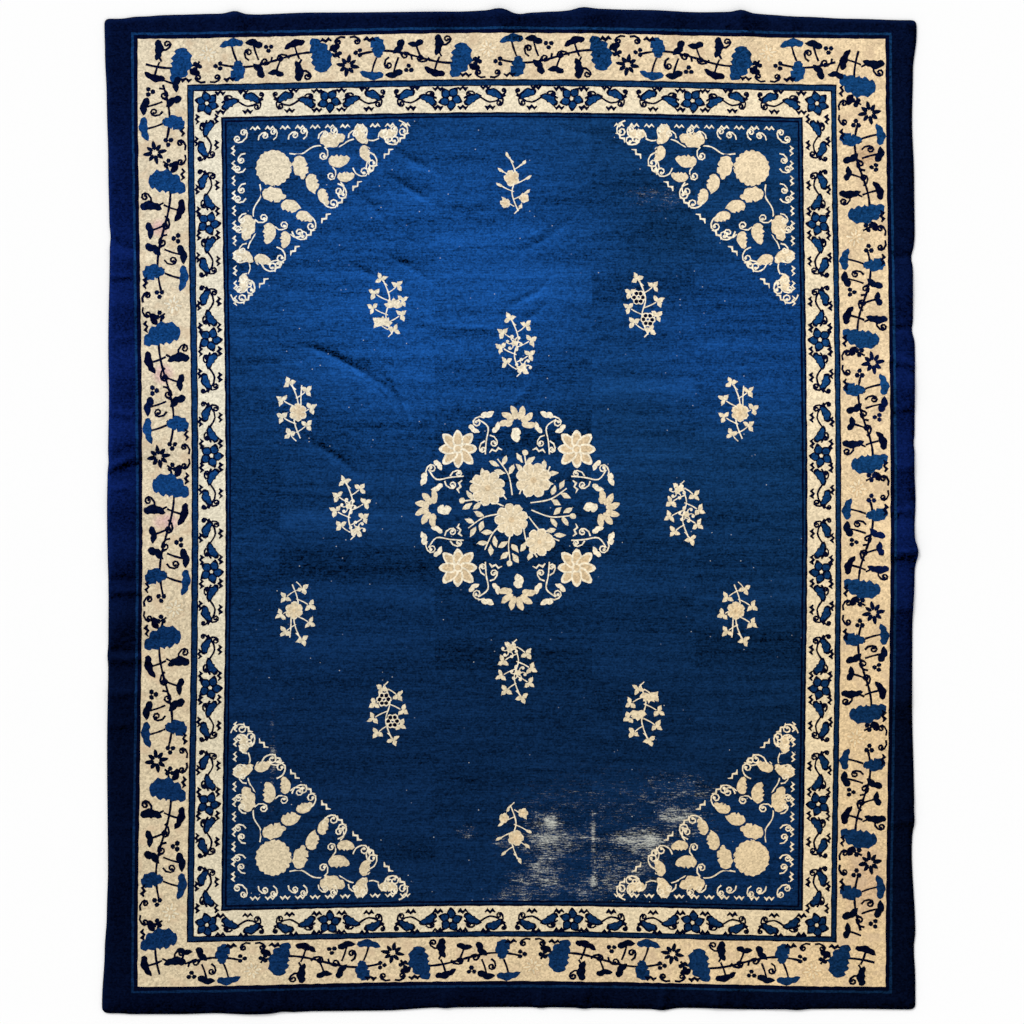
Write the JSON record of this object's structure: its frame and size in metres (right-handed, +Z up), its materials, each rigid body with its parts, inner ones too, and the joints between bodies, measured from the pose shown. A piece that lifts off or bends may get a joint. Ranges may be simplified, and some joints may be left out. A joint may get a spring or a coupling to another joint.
{
  "type": "peking rug",
  "caption": "Room-size hand-knotted wool pile rug lying flat, its edges in low ripples, with a round flower medallion, corner sprays and scrolling vine borders.",
  "frame": {"origin": "on the floor, under the middle of the rug's outline", "axes": "+Z up out of the pile, +Y along the rug's length towards the end that is at the top of the picture, +X across it to the right"},
  "size_m": [2.754, 3.4006, 0.017],
  "materials": {
    "wool_pile": "matt wool pile, blue with an ivory border"
  },
  "bodies": {
    "root": {"rug": "wool_pile"}
  },
  "joints": []
}
